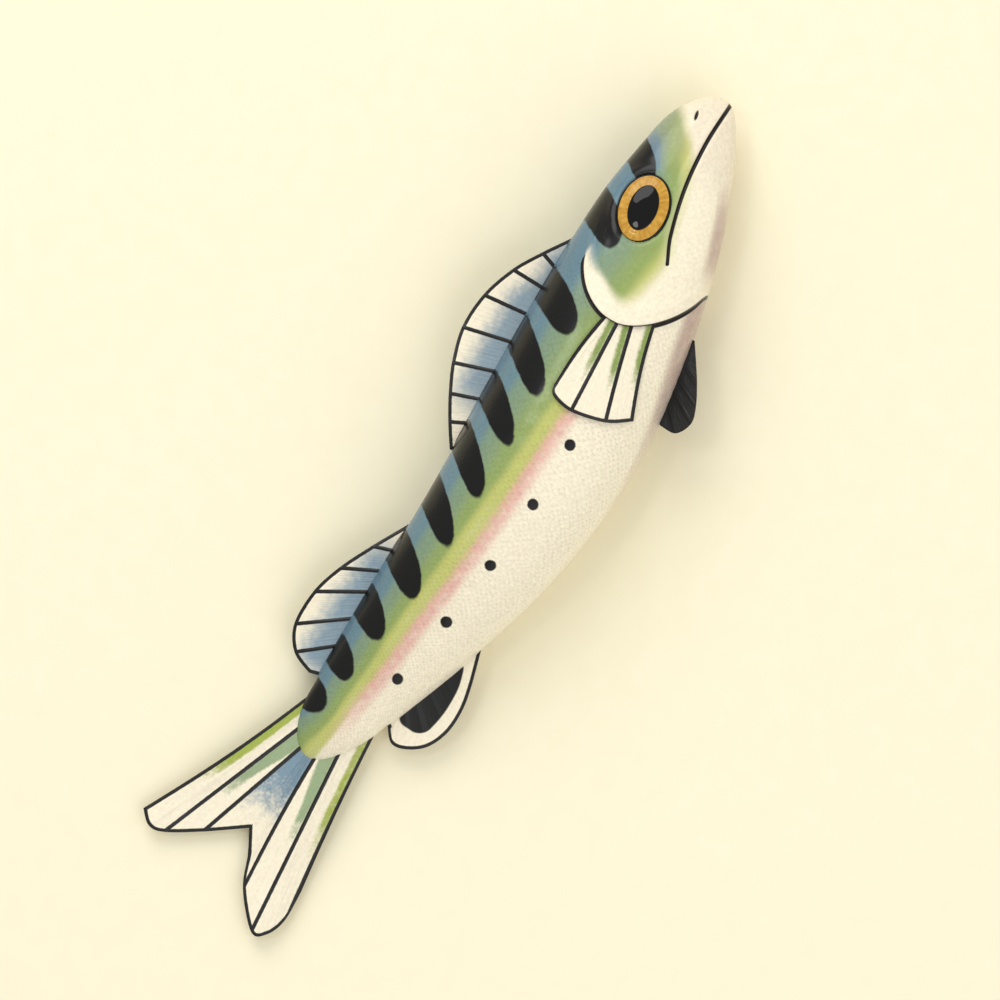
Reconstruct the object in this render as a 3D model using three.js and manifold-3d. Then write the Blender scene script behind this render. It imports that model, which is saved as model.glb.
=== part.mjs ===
// A whole raw fish of the mackerel kind, 300 mm long, lying on its left flank.
// Millimetres. +X points to the snout, +Y to the back, +Z up from the surface that it lies on.
// The body, the head and all the fins are one solid; each eye is a solid of its own in its socket.

import * as THREE from 'three';
import { mergeVertices } from 'three/addons/utils/BufferGeometryUtils.js';
import Module from 'manifold-3d';

const wasm = await Module();
wasm.setup();

// ---- Driving dimensions ----

// Flesh, from the tip of the snout to the round end that it makes over the tail fin.
const SNOUT_X = 150.3;
const FLESH_END_X = -94.5;
const SNOUT_ROUND = 20;          // length of each round end
const TAIL_ROUND = 17.5;
const SNOUT_TIP_Y = 1.5;         // height of the tip of each round end
const TAIL_TIP_Y = -4.5;

// Side view and plan view of the body: rows of x and size, from the snout to the tail.
const BACK_LINE = [
  [150, 13.5], [130, 15.5], [105, 17.9], [75, 16.9], [40, 14.3], [0, 10.8], [-40, 8.7], [-77, 6.4], [-95, 5.4],
];
const BELLY_LINE = [
  [150, -7.7], [140, -10.5], [130, -14.3], [115, -21.3], [95, -28.3], [70, -34.8],
  [50, -38.4], [20, -39.8], [-10, -36.8], [-40, -29.7], [-77, -18.2], [-95, -13],
];
const HALF_THICKNESS = [
  [150, 8], [130, 10.8], [115, 13.6], [100, 15.6], [80, 17.4], [55, 18.5],
  [20, 18.3], [-10, 16], [-40, 11.6], [-77, 5.4], [-95, 3.4],
];
// Height of the middle plane: the thick middle carries the fish, and head and tail sag towards the ground.
const MIDDLE_HEIGHT = [
  [150, 12.4], [125, 14.9], [100, 16.5], [60, 17.6], [20, 17.2], [-10, 15], [-40, 11], [-77, 6.6], [-95, 5.2],
  [-150, 3.6],
];
const BACK_FULLNESS = 2.3;       // exponents of the cross-section: 2 is an ellipse, more is squarer
const BELLY_FULLNESS = 2.05;

// Gill cover: its rear edge is half an oval, and it stands proud of the flank behind it.
const GILL_X = 96;
const GILL_Y = -7;
const GILL_REACH = 24;
const GILL_RISE = 21;
const GILL_DROP = 20;
const GILL_RISE_POWER = 2;       // an ellipse above the middle, and straighter below it
const GILL_DROP_POWER = 1.6;
const GILL_STEP = 1.5;
const GILL_SLIT = 0.4;           // how far the flank sinks just behind the edge
const GILL_RUN = 0.75;           // length over which the step falls into the slit
const GILL_PASSES = 12;          // steps that find where a line of the body crosses the edge
const GILL_FADE_LOW = 8;         // the edge fades out towards the nape between these heights
const GILL_FADE_HIGH = 15;
const GILL_PLATE_WIDTH = 6.5;    // band along the edge that stands a little higher than the cheek
const CHEEK_LENGTH = 34;         // the cover starts to swell this far in front of its edge

// Rows and columns of the body's mesh.
const AROUND = 44;
const HEAD_ROWS = 17;
const TRUNK_ROWS = 27;

// Mouth, nostril and eye.
const MOUTH_LINE = [[150, -0.3], [135, -0.7], [120, -3], [105, -7.6], [97, -11.7]];
const MOUTH_CORNER_X = 97;
const MOUTH_GROOVE = 0.8;        // radius of the groove
const MOUTH_STEPS = 12;          // steps of the groove from the snout to a corner
const MOUTH_CROWDING = 1.8;      // and how closely they crowd round the snout
const MOUTH_SIDES = 6;
const NOSTRIL_X = 141;
const NOSTRIL_Y = 6.8;
const NOSTRIL_SIZE = [1.5, 0.7, 1.0];
const NOSTRIL_MESH = [10, 6];
const EYE_X = 107.4;
const EYE_Y = 4.3;
const EYE_HALF_LENGTH = 10.9;
const EYE_HALF_HEIGHT = 8;
const EYE_TILT = THREE.MathUtils.degToRad(15);
const EYE_DOME = 2.3;            // bulge of the cornea above the eye's rim
const EYE_DOME_POWER = 2.4;      // 2 is a paraboloid, more is flatter in the middle
const EYE_DEPTH = 4.2;           // depth of the eyeball below its rim
const EYE_SINK = 1.1;            // the rim lies this far below the skin at the eye's centre
const EYE_GAP = 0.3;             // room between the eyeball and its socket
const EYE_SIDES = 24;            // steps of the eye's mesh round its axis, and along its bowl and dome
const EYE_STEPS = 6;
const SKIN_STEP = 0.5;           // the skin's slope is measured this far along and up and down the flank
const SKIN_SPREAD = 6.4;

// Fins, as fans of rays. Each ray is [x at the root, x at the tip, y at the tip].
const FIRST_DORSAL = [
  [12, 11.1, 12.4], [20.9, 18, 17.6], [29.4, 25.5, 22.5], [39.3, 34.1, 27.1], [49.8, 45.1, 30.7],
  [59.7, 57.2, 30.8], [69.3, 68.9, 27.7], [76.8, 78.5, 22.9], [85, 87.4, 17.7],
];
const SECOND_DORSAL = [
  [-69.5, -71.8, 9.9], [-60, -69, 17.3], [-50, -61.7, 22.3], [-40.3, -49.8, 23], [-32.7, -39.2, 20.5],
  [-25.2, -27.8, 15.8], [-17, -15.6, 10],
];
const ANAL = [
  [-37, -35.6, -31], [-44, -46.9, -34.9], [-50, -55, -36.8], [-56, -63.1, -36.8], [-61, -70.3, -34.1],
  [-65, -74.7, -29], [-68, -75.8, -24], [-70.5, -71.7, -19.8],
];
const PELVIC = [
  [81, 82.2, -32.2], [74, 72.2, -39.8], [69, 65, -44.2], [65, 59.8, -45.8], [61, 54.8, -43.5], [58, 54.2, -38],
];
// On the tail and on the flank a ray's root needs a height too, and the ray can be bowed:
// [x, y at the root, x, y at the tip, rise of the ray's middle above a straight line].
const TAIL = [
  [-72, -17.6, -130.4, -26.6, 0.5], [-76, -15.8, -141, -27.4, 0.3], [-80, -13.5, -147.7, -25.1, 0.2],
  [-84, -11.6, -149.7, -20.6, 0], [-86, -6.3, -139.9, -10.9, 0.7], [-88, -4.8, -130.2, -6.2, 0.4],
  [-88, -3.6, -122.9, -1.8, 0], [-88, -2.4, -132, 9.6, 0], [-84, 1.4, -139, 19.8, 0],
  [-80, 3.5, -139.9, 25, -0.8], [-73, 4.4, -136.4, 29.3, -1.2],
];
const TAIL_FORK = 6;             // the ray whose tip is the sharp corner between the tail's lobes
const PECTORAL = [
  [80, -19, 50.3, -30.4, 0.9], [75.5, -13, 45.1, -23.3, 0.3], [75, -8.7, 41.9, -12.4, 0],
  [75.3, -6.2, 42.9, -5.2, 0.5], [76, -4.6, 45.8, -3.4, 0.9],
];

const ROOT_DEPTH = 3.5;          // roots of the middle fins lie this deep in the flesh
const FIN_ROOT_THICKNESS = 2.6;
const FIN_EDGE_THICKNESS = 0.9;
const RAY_RIDGE = 0.35;          // a ray stands this far out of the membrane on each side
const RAY_HALF_WIDTH = 0.13;     // of a ray's ridge, as a share of the panel between two rays
const FIN_WAVE = 0.9;            // height of a fin's slow sideways wave at its edge
const FIN_WAVE_LENGTH = 9;       // length along the fish in which the wave turns by one radian
const PELVIC_APART = 3;          // each pelvic fin's root from the middle plane
const PELVIC_SPLAY = 3.5;        // and how much further out its tip stands
const PECTORAL_ROOT_LIFT = -0.7; // upper face of the pectoral fin above the flank: its root is under
const PECTORAL_TIP_LIFT = 1.9;   // the gill cover
const PECTORAL_SUNK = 1.6;       // its lower face lies in the flesh

const GROUND_SIZE = [600, 300, 80];
const SKIN_LOOK = { color: 0x8fa899, roughness: 0.35, metalness: 0 };
const EYE_LOOK = { color: 0xc6973f, roughness: 0.15, metalness: 0 };

// ---- Curves ----

// A smooth curve through rows of [x, value], with x falling from row to row.
function smoothLine(rows) {
  const slope = (i) => {
    const ahead = rows[Math.max(i - 1, 0)];
    const behind = rows[Math.min(i + 1, rows.length - 1)];
    return (ahead[1] - behind[1]) / (ahead[0] - behind[0]);
  };
  return (x) => {
    const inside = Math.min(Math.max(x, rows.at(-1)[0]), rows[0][0]);
    const i = Math.min(rows.findIndex((row, k) => k > 0 && inside >= row[0]), rows.length - 1);
    const [x1, y1] = rows[i - 1];
    const [x0, y0] = rows[i];
    const span = x1 - x0;
    const t = (inside - x0) / span;
    const rise = y1 - y0;
    const startBend = slope(i) * span - rise;
    const endBend = rise - slope(i - 1) * span;
    return y0 + rise * t + t * (1 - t) * (startBend * (1 - t) + endBend * t);
  };
}

const backLine = smoothLine(BACK_LINE);
const bellyLine = smoothLine(BELLY_LINE);
const halfThickness = smoothLine(HALF_THICKNESS);
const middleHeight = smoothLine(MIDDLE_HEIGHT);
const mouthLine = smoothLine(MOUTH_LINE);
const smoothstep = THREE.MathUtils.smoothstep;
const lerp = THREE.MathUtils.lerp;

// 1 along the body, falling to 0 along a quarter ellipse at both tips.
function endRounding(x) {
  const pastSnout = (x - (SNOUT_X - SNOUT_ROUND)) / SNOUT_ROUND;
  const pastTail = (FLESH_END_X + TAIL_ROUND - x) / TAIL_ROUND;
  const reach = Math.min(1, Math.max(0, pastSnout, pastTail));
  return Math.sqrt(1 - reach * reach);
}

// The cross-section at x: its middle, its half depth and its half thickness.
function section(x) {
  const round = endRounding(x);
  const tipY = x > 0 ? SNOUT_TIP_Y : TAIL_TIP_Y;
  const top = tipY + (backLine(x) - tipY) * round;
  const bottom = tipY + (bellyLine(x) - tipY) * round;
  return { middleY: (top + bottom) / 2, halfDepth: (top - bottom) / 2, halfThick: halfThickness(x) * round };
}

function fullness(side) {
  return side > 0 ? BACK_FULLNESS : BELLY_FULLNESS;
}

// Distance of the skin from the middle plane at a place in the side view.
function flank(x, y) {
  const { middleY, halfDepth, halfThick } = section(x);
  const across = (y - middleY) / halfDepth;
  const power = fullness(across);
  return halfThick * Math.max(0, 1 - Math.abs(across) ** power) ** (1 / power);
}

// ---- Solids ----

// Moves every vertex of a closed three.js geometry by place(vertex) and returns it as a solid.
function shaped(geometry, place = (vertex) => vertex) {
  const bare = geometry.index ? geometry : mergeVertices(geometry);
  bare.deleteAttribute('normal');
  bare.deleteAttribute('uv');
  const position = bare.getAttribute('position');
  const vertex = new THREE.Vector3();
  for (let i = 0; i < position.count; i += 1) {
    vertex.fromBufferAttribute(position, i);
    place(vertex);
    position.setXYZ(i, vertex.x, vertex.y, vertex.z);
  }
  const merged = mergeVertices(bare, 1e-4);
  const points = merged.getAttribute('position').array;
  const triangles = dropCollapsed(merged.index.array);
  if (signedVolume(points, triangles) < 0) triangles.reverse();
  return new wasm.Manifold(new wasm.Mesh({
    numProp: 3,
    vertProperties: new Float32Array(points),
    triVerts: new Uint32Array(triangles),
  }));
}

function dropCollapsed(index) {
  const kept = [];
  for (let i = 0; i < index.length; i += 3) {
    const [a, b, c] = index.slice(i, i + 3);
    if (a !== b && b !== c && c !== a) kept.push(a, b, c);
  }
  return kept;
}

function signedVolume(points, triangles) {
  const corner = (i) => new THREE.Vector3().fromArray(points, triangles[i] * 3);
  let volume = 0;
  for (let i = 0; i < triangles.length; i += 3) {
    volume += corner(i).dot(corner(i + 1).cross(corner(i + 2)));
  }
  return volume;
}

function meshOf(solid, name, look) {
  const { vertProperties, triVerts } = solid.getMesh();
  const geometry = new THREE.BufferGeometry();
  geometry.setAttribute('position', new THREE.BufferAttribute(new Float32Array(vertProperties), 3));
  geometry.setIndex(new THREE.BufferAttribute(new Uint32Array(triVerts), 1));
  geometry.computeVertexNormals();
  const mesh = new THREE.Mesh(geometry, new THREE.MeshStandardMaterial(look));
  mesh.name = name;
  return mesh;
}

// ---- Body ----

// Where the rear edge of the gill cover crosses the height y.
function gillEdge(y) {
  const [height, power] = y > GILL_Y ? [GILL_RISE, GILL_RISE_POWER] : [GILL_DROP, GILL_DROP_POWER];
  const share = Math.abs(y - GILL_Y) / height;
  return GILL_X - GILL_REACH * Math.max(0, 1 - share ** power) ** (1 / power);
}

// The same along one line of the body that keeps its share of the depth, from -1 to 1.
function gillEdgeAlong(share) {
  let x = GILL_X - GILL_REACH;
  for (let pass = 0; pass < GILL_PASSES; pass += 1) {
    const { middleY, halfDepth } = section(x);
    x = (x + gillEdge(middleY + halfDepth * share)) / 2;
  }
  return x;
}

// How far the gill cover stands out, by the distance in front of its edge and the height y.
function gillCover(inFront, y) {
  const swelling = 0.5 * smoothstep(-inFront, -CHEEK_LENGTH, -GILL_PLATE_WIDTH);
  const plate = 0.5 * smoothstep(-inFront, -GILL_PLATE_WIDTH - 1, -GILL_PLATE_WIDTH + 1);
  return GILL_STEP * (swelling + plate) * (1 - smoothstep(y, GILL_FADE_LOW, GILL_FADE_HIGH));
}

// A sphere whose poles are the snout and the end of the flesh. Its rows bend round the gill edge.
function makeBody() {
  const rows = HEAD_ROWS + 1 + TRUNK_ROWS;
  const lines = new Map();
  return shaped(new THREE.SphereGeometry(1, AROUND, rows), (vertex) => {
    const row = Math.round(Math.acos(THREE.MathUtils.clamp(vertex.y, -1, 1)) / Math.PI * rows);
    const angle = Math.atan2(vertex.z, vertex.x);
    const share = squeeze(Math.cos(angle), fullness(Math.cos(angle)));
    const out = squeeze(Math.sin(angle), fullness(Math.cos(angle)));
    const key = share.toFixed(5);
    if (!lines.has(key)) lines.set(key, gillEdgeAlong(share));
    const edge = lines.get(key);

    let x;
    let proud = 0;
    if (row <= HEAD_ROWS) {
      x = lerp(SNOUT_X, edge, 1 - Math.cos(row / HEAD_ROWS * Math.PI / 2));
    } else {
      const along = (row - HEAD_ROWS - 1) / TRUNK_ROWS;
      x = lerp(edge - GILL_RUN, FLESH_END_X, (along + Math.sin(along * Math.PI / 2)) / 2);
    }
    const { middleY, halfDepth, halfThick } = section(x);
    const y = middleY + halfDepth * share;
    if (row <= HEAD_ROWS) proud = gillCover(x - edge, y);
    if (row === HEAD_ROWS + 1) proud = -GILL_SLIT * (1 - smoothstep(y, GILL_FADE_LOW, GILL_FADE_HIGH));
    vertex.set(x, y, middleHeight(x) + (halfThick + proud * endRounding(x)) * out);
  });
}

// A cosine or sine bent so that the cross-section is a superellipse.
function squeeze(value, power) {
  return Math.sign(value) * Math.abs(value) ** (2 / power);
}

// ---- Fins ----

// Columns of a fin's mesh within a panel, as shares of its width. The first one is on the ray.
const COLUMNS = [0, RAY_HALF_WIDTH, 0.5, 1 - RAY_HALF_WIDTH];

// A smooth curve through points, which turns sharply at one of them. It takes a place counted in points.
function curveThrough(points, corner) {
  const last = points.length - 1;
  const before = new THREE.SplineCurve(points.slice(0, corner + 1));
  const after = new THREE.SplineCurve(points.slice(corner));
  return (place) => (place <= corner
    ? before.getPoint(place / corner)
    : after.getPoint((place - corner) / (last - corner)));
}

// A blade of rays given as [root x, root y, tip x, tip y, bow]. lay(x, y, v, side, half, onRay) places a
// vertex: v runs from root to edge, side is 1 or -1 for the face, half is half the thickness there.
function makeFin(rays, rowsOut, lay, corner = rays.length - 1) {
  const panels = rays.length - 1;
  const columns = panels * COLUMNS.length;
  const rootAt = curveThrough(rays.map((ray) => new THREE.Vector2(ray[0], ray[1])), corner);
  const tipAt = curveThrough(rays.map((ray) => new THREE.Vector2(ray[2], ray[3])), corner);
  const bows = rays.map((ray) => ray[4] ?? 0);
  return shaped(new THREE.BoxGeometry(1, 1, 1, columns, rowsOut, 1), (vertex) => {
    const column = Math.round((vertex.x + 0.5) * columns);
    const panel = Math.min(Math.floor(column / COLUMNS.length), panels - 1);
    const across = column === columns ? 1 : COLUMNS[column % COLUMNS.length];
    const onRay = column % COLUMNS.length === 0 ? 1 : 0;
    const v = vertex.y + 0.5;
    const side = Math.sign(vertex.z);
    const place = rootAt(panel + across).lerp(tipAt(panel + across), v);
    place.y += lerp(bows[panel], bows[panel + 1], across) * Math.sin(Math.PI * v);
    const half = lerp(FIN_ROOT_THICKNESS, FIN_EDGE_THICKNESS, Math.sqrt(v)) / 2 + onRay * RAY_RIDGE;
    vertex.copy(lay(place.x, place.y, v, side, half, onRay));
  });
}

// Fins in the middle plane, with a slow wave towards the edge.
function makeMiddleFin(rays, rowsOut, corner) {
  return makeFin(rays, rowsOut, (x, y, v, side, half) => {
    const wave = FIN_WAVE * v * Math.sin(x / FIN_WAVE_LENGTH);
    return new THREE.Vector3(x, y, middleHeight(x) + wave + side * half);
  }, corner);
}

// Carries the rays of a back or belly fin on, past that line of the body, to a root in the flesh.
function rootedIn(line, inward, rays) {
  return rays.map(([x, tipX, tipY], i) => {
    const isEnd = i === 0 || i === rays.length - 1;
    const lean = isEnd ? 0 : (x - tipX) / Math.abs(line(x) - tipY);
    return [x + lean * ROOT_DEPTH, line(x) + inward * ROOT_DEPTH, tipX, tipY];
  });
}

function makePelvicFin(flankSide) {
  return makeFin(rootedIn(bellyLine, 1, PELVIC), 5, (x, y, v, side, half) => {
    const apart = flankSide * (PELVIC_APART + PELVIC_SPLAY * v * v);
    return new THREE.Vector3(x, y, middleHeight(x) + apart + side * half);
  });
}

// Pressed along the flank from under the gill cover, with its lower face in the flesh.
function makePectoralFin(flankSide) {
  return makeFin(PECTORAL, 8, (x, y, v, side, half, onRay) => {
    const lift = lerp(PECTORAL_ROOT_LIFT, PECTORAL_TIP_LIFT, Math.sqrt(v)) + onRay * RAY_RIDGE;
    const out = flank(x, y) + (side > 0 ? lift : -PECTORAL_SUNK);
    return new THREE.Vector3(x, y, middleHeight(x) + flankSide * out);
  });
}

// ---- Head details ----

// A turn and shift that stands an upright shape on the skin, along the skin's own normal.
function onSkin(x, y, flankSide, sink) {
  const slopeX = (flank(x + SKIN_STEP, y) - flank(x - SKIN_STEP, y)) / (2 * SKIN_STEP);
  const slopeY = (flank(x, y + SKIN_SPREAD) - flank(x, y - SKIN_SPREAD)) / (2 * SKIN_SPREAD);
  const normal = new THREE.Vector3(-slopeX, -slopeY, flankSide).normalize();
  const place = new THREE.Vector3(x, y, middleHeight(x) + flankSide * flank(x, y));
  place.addScaledVector(normal, -sink);
  const lean = new THREE.Quaternion().setFromUnitVectors(new THREE.Vector3(0, 0, flankSide), normal);
  const face = new THREE.Quaternion().setFromEuler(new THREE.Euler(flankSide > 0 ? 0 : Math.PI, 0, 0));
  const spin = new THREE.Quaternion().setFromEuler(new THREE.Euler(0, 0, EYE_TILT));
  return new THREE.Matrix4().compose(place, lean.multiply(spin).multiply(face), new THREE.Vector3(1, 1, 1));
}

// The eyeball: a domed front over a bowl, turned about its own axis and stretched to an oval.
function makeEye(flankSide) {
  const profile = bowl(EYE_DEPTH);
  for (let i = EYE_STEPS - 1; i >= 0; i -= 1) {
    const radius = i / EYE_STEPS;
    profile.push(new THREE.Vector2(radius, EYE_DOME * (1 - radius ** EYE_DOME_POWER)));
  }
  return eyeShape(profile, flankSide, 0);
}

// The socket: the same bowl, wider by the gap, and open to the outside.
function makeSocket(flankSide) {
  const profile = bowl(EYE_DEPTH + EYE_GAP);
  profile.push(new THREE.Vector2(1, EYE_DOME * 2));
  profile.push(new THREE.Vector2(0, EYE_DOME * 2));
  return eyeShape(profile, flankSide, EYE_GAP);
}

// A quarter ellipse from the axis to a rim of radius 1.
function bowl(depth) {
  const profile = [];
  for (let i = 0; i <= EYE_STEPS; i += 1) {
    const angle = i / EYE_STEPS * Math.PI / 2;
    profile.push(new THREE.Vector2(Math.sin(angle), -depth * Math.cos(angle)));
  }
  return profile;
}

function eyeShape(profile, flankSide, extra) {
  const place = onSkin(EYE_X, EYE_Y, flankSide, EYE_SINK);
  return shaped(new THREE.LatheGeometry(profile, EYE_SIDES), (vertex) => {
    vertex.set(vertex.x * (EYE_HALF_LENGTH + extra), -vertex.z * (EYE_HALF_HEIGHT + extra), vertex.y);
    vertex.applyMatrix4(place);
  });
}

// The groove of the closed mouth, from one corner round the snout to the other.
function makeMouth() {
  const path = [];
  for (let i = -MOUTH_STEPS; i <= MOUTH_STEPS; i += 1) {
    const share = Math.abs(i) / MOUTH_STEPS;
    const x = lerp(SNOUT_X, MOUTH_CORNER_X, share ** MOUTH_CROWDING);
    const y = mouthLine(x);
    path.push(new THREE.Vector3(x, y, middleHeight(x) + Math.sign(i) * flank(x, y)));
  }
  const ring = new THREE.Shape();
  ring.absarc(0, 0, MOUTH_GROOVE, 0, 2 * Math.PI);
  return shaped(new THREE.ExtrudeGeometry(ring, {
    steps: 4 * MOUTH_STEPS,
    curveSegments: MOUTH_SIDES,
    extrudePath: new THREE.CatmullRomCurve3(path),
  }));
}

function makeNostril(flankSide) {
  const place = onSkin(NOSTRIL_X, NOSTRIL_Y, flankSide, 0);
  return shaped(new THREE.SphereGeometry(1, ...NOSTRIL_MESH), (vertex) => {
    vertex.multiply(new THREE.Vector3(...NOSTRIL_SIZE)).applyMatrix4(place);
  });
}

// ---- The whole fish ----

const added = [
  makeMiddleFin(rootedIn(backLine, -1, FIRST_DORSAL), 5),
  makeMiddleFin(rootedIn(backLine, -1, SECOND_DORSAL), 4),
  makeMiddleFin(rootedIn(bellyLine, 1, ANAL), 4),
  makeMiddleFin(TAIL, 8, TAIL_FORK),
  ...[1, -1].flatMap((flankSide) => [makePelvicFin(flankSide), makePectoralFin(flankSide)]),
];
const ground = shaped(new THREE.BoxGeometry(...GROUND_SIZE).translate(0, 0, -GROUND_SIZE[2] / 2));
const removed = [
  makeMouth(),
  ...[1, -1].flatMap((flankSide) => [makeSocket(flankSide), makeNostril(flankSide)]),
  ground,
];
const finned = added.reduce((solid, fin) => solid.add(fin), makeBody());
const fish = removed.reduce((solid, cut) => solid.subtract(cut), finned);

const meshes = [
  meshOf(fish, 'fish', SKIN_LOOK),
  meshOf(makeEye(1), 'eye_right', EYE_LOOK),
  meshOf(makeEye(-1), 'eye_left', EYE_LOOK),
];

// The origin is the middle of the ground that the fish covers.
const whole = new THREE.Group();
whole.add(...meshes);
const middle = new THREE.Box3().setFromObject(whole).getCenter(new THREE.Vector3());
whole.position.set(-middle.x, -middle.y, 0);
whole.updateMatrixWorld(true);

export default whole;
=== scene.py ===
"""The looks of a whole raw fish that lies on its left flank.

The tables give millimetres along the fish: x grows to the snout and y to the back. Every mesh is written in
metres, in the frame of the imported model, where z is up from the ground.
"""
import math

import bmesh
import bpy
import numpy as np
from mathutils import Euler, Matrix, Quaternion, Vector


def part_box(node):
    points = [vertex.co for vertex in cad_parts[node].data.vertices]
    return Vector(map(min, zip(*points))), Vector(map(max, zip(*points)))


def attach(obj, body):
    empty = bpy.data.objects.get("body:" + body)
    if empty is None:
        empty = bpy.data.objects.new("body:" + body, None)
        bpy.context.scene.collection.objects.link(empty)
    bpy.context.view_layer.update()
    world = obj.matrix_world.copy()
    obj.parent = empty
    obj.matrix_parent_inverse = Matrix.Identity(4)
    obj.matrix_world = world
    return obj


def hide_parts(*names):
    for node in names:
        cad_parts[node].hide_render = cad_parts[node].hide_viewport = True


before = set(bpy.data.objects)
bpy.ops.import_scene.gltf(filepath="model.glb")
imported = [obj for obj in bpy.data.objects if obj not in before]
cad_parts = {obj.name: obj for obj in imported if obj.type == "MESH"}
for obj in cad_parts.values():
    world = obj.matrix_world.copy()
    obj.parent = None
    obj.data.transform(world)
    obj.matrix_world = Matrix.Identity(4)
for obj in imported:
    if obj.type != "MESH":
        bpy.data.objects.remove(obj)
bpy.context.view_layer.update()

# ---- Sizes, in millimetres ----

SNOUT_X = 150.3
FLESH_END_X = -94.5
SNOUT_ROUND = 20
TAIL_ROUND = 17.5
SNOUT_TIP_Y = 1.5
TAIL_TIP_Y = -4.5
CREST_Y = 31.17                  # top of the first dorsal fin, the highest y of the whole fish

BACK_LINE = (
    (150, 13.5), (130, 15.5), (105, 17.9), (75, 16.9), (40, 14.3), (0, 10.8), (-40, 8.7), (-77, 6.4),
    (-95, 5.4),
)
BELLY_LINE = (
    (150, -7.7), (140, -10.5), (130, -14.3), (115, -21.3), (95, -28.3), (70, -34.8),
    (50, -38.4), (20, -39.8), (-10, -36.8), (-40, -29.7), (-77, -18.2), (-95, -13),
)
HALF_THICKNESS = (
    (150, 8), (130, 10.8), (115, 13.6), (100, 15.6), (80, 17.4), (55, 18.5),
    (20, 18.3), (-10, 16), (-40, 11.6), (-77, 5.4), (-95, 3.4),
)
MIDDLE_HEIGHT = (
    (150, 12.4), (125, 14.9), (100, 16.5), (60, 17.6), (20, 17.2), (-10, 15), (-40, 11), (-77, 6.6),
    (-95, 5.2), (-150, 3.6),
)
BACK_FULLNESS = 2.3
BELLY_FULLNESS = 2.05

GILL_X = 96
GILL_Y = -7
GILL_REACH = 24
GILL_RISE = 21
GILL_DROP = 20
GILL_RISE_POWER = 2
GILL_DROP_POWER = 1.6
GILL_STEP = 1.5
GILL_FADE = (8, 15)
GILL_PLATE_WIDTH = 6.5
GILL_PASSES = 12                 # passes that find where a line of the body meets the cover's edge
GILL_TURN = 0.14                 # the edge's turn under the throat is rounded off over this angle each way
CHEEK_LENGTH = 34                # the cover starts to swell this far in front of its edge
SLIT_FADE = 4                    # length over which the flank rises again behind the slit
# The rolled edge of the gill cover, from its top down into the slit behind it: (forward, outward).
GILL_LIP = ((0.5, 0.98), (0.2, 0.85), (0.02, 0.55), (-0.1, 0.1), (-0.25, -0.3), (-0.6, -0.32))
LIP_ROWS = len(GILL_LIP) - 1

# Four numbers under a name that ends in _X or _Y: the feature fades in between the first two and out
# between the last two.

MOUTH_LINE = ((150, -0.3), (135, -0.7), (120, -3), (105, -7.6), (97, -11.7))
MOUTH_CORNER_X = 97
MOUTH_DEPTH = 0.85
UPPER_LIP_HEIGHT = 0.22
LOWER_LIP_HEIGHT = 0.18
JAW_BONE_X = (97, 102, 124, 136)
JAW_BONE_HEIGHT = 0.25
JAW_FOLD_X = (96, 100, 128, 134)
JAW_FOLD_RISE = 3.6              # above the belly line
JAW_FOLD_DEPTH = 0.22
EYE_X = 107.4
EYE_Y = 4.3
EYE_TILT = math.radians(15)
EYE_SINK = 1.1
EYE_SOCKET = (11.3, 8.4)         # half length and half height
EYE_SOCKET_DEPTH = 2.6
EYE_SOCKET_RIM_HEIGHT = 0.3
NOSTRIL = (141, 6.8)
NOSTRIL_SLANT = 0.25
NOSTRIL_DEPTH = 0.6
NOSTRIL_RIM_HEIGHT = 0.15
CHEEK_X = (71, 74, 104, 112)
CHEEK_Y = (-26, -22, 9, 14)
CHEEK_RIM_HEIGHT = 0.12
CHEEK_FAN_HEIGHT = 0.06
CHEEK_FAN_RIDGES = 17            # in a full turn round the fan's centre
CHEEK_FAN_CENTRE = (92, 9)
FLANK_LINE_X = (-92, -84, 66, 72)
FLANK_LINE_RISE = 2.2            # above the middle of the pink stripe
FLANK_LINE_DEPTH = 0.1
MUSCLE_X = (-90, -70, 50, 66)
MUSCLE_HEIGHT = 0.035
MUSCLE_LENGTH = 8.5
MUSCLE_SLANT = 0.55
RELIEF_FADE = 3                  # all this fades out so near the middle plane, on the back and the belly
FIRST_DORSAL_ROOT_X = (10, 16, 82, 90)
SECOND_DORSAL_ROOT_X = (-73, -68, -22, -15)
DORSAL_ROOT_HEIGHT = 0.55
ANAL_ROOT_X = (-73, -68, -40, -34)
ANAL_ROOT_HEIGHT = 0.5

BODY_COLUMNS = 272
HEAD_ROWS = 150
TRUNK_ROWS = 204
MOUTH_COLUMN = 78                # the column of the body's mesh that follows the mouth
MOUTH_PASSES = 4                 # passes that bend it there
GROUND_SOFTNESS = 0.5            # height over which flesh on the ground turns flat

SCALES = 14                      # scales in one unit of the coordinates that scale_rows gives
LEAST_SCALE_RADIUS = 13          # the scales stop shrinking where the body is thinner than this

# ---- Markings ----

# Dark bars: x and half width at the back line, x and y of the lower tip, and how blunt the tip is.
BARS = (
    (71, 6, 63.5, 0.8, 4.1), (53.6, 5.7, 41.8, -1.7, 3.9), (34.6, 5.3, 23.6, -2.6, 3.2),
    (16.9, 5.3, 4.8, -4, 3.9), (-2.4, 5.4, -13.4, -4.7, 2.9), (-23.1, 5.8, -32.4, -5.1, 3.4),
    (-42.9, 5.6, -49.5, -3, 2.6), (-60.6, 5, -65.4, -1.9, 2.9), (-76.7, 5.4, -78.1, -0.4, 1.7),
    (100.7, 6.3, 93.9, 4.5, 3.3), (121.9, 5.1, 115.4, 6.4, 3.6),
)
SPOTS = ((33.2, -18.1), (11.3, -18.8), (-11.9, -18.5), (-34.3, -17), (-57.7, -14.3))
SPOT_RADIUS = 1.85
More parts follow.
